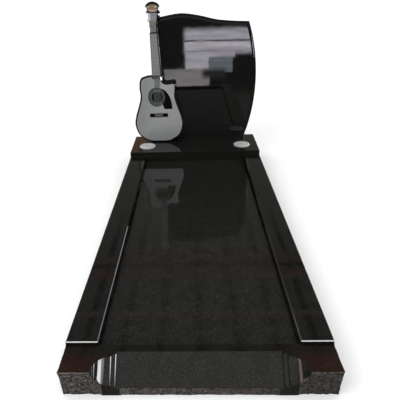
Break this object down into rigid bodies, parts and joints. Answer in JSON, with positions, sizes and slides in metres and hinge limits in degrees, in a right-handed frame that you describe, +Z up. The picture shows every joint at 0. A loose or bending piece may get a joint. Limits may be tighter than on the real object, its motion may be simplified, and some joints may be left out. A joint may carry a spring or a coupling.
{
  "type": "guitar headstone",
  "caption": "Full-plot memorial in polished black granite: a headstone carved with an acoustic guitar, its base with sunk flower containers, kerbs and a cover slab.",
  "frame": {"origin": "on the ground, at the middle of the plot", "axes": "+X to the right as seen from the foot of the plot, +Y from the foot to the headstone, +Z up"},
  "size_m": [0.914, 2.13, 1.0903],
  "materials": {
    "headstone_granite": "mirror polished, with the guitar's faces etched to a pale grey",
    "base_granite": "polished top and front, honed back",
    "kerb_granite": "polished tops, sawn sides and ends",
    "front_kerb_granite": "polished top and panel, rock-pitched front and ends",
    "cover_slab_granite": "mirror polished",
    "flower_container_metal": "spun, satin"
  },
  "bodies": {
    "root": {"headstone": "headstone_granite", "headstone_base": "base_granite", "left_kerb": "kerb_granite", "right_kerb": "kerb_granite", "front_kerb": "front_kerb_granite", "ledger_slab": "cover_slab_granite", "left_flower_container": "flower_container_metal", "right_flower_container": "flower_container_metal", "left_flower_lid": "flower_container_metal", "right_flower_lid": "flower_container_metal"}
  },
  "joints": []
}
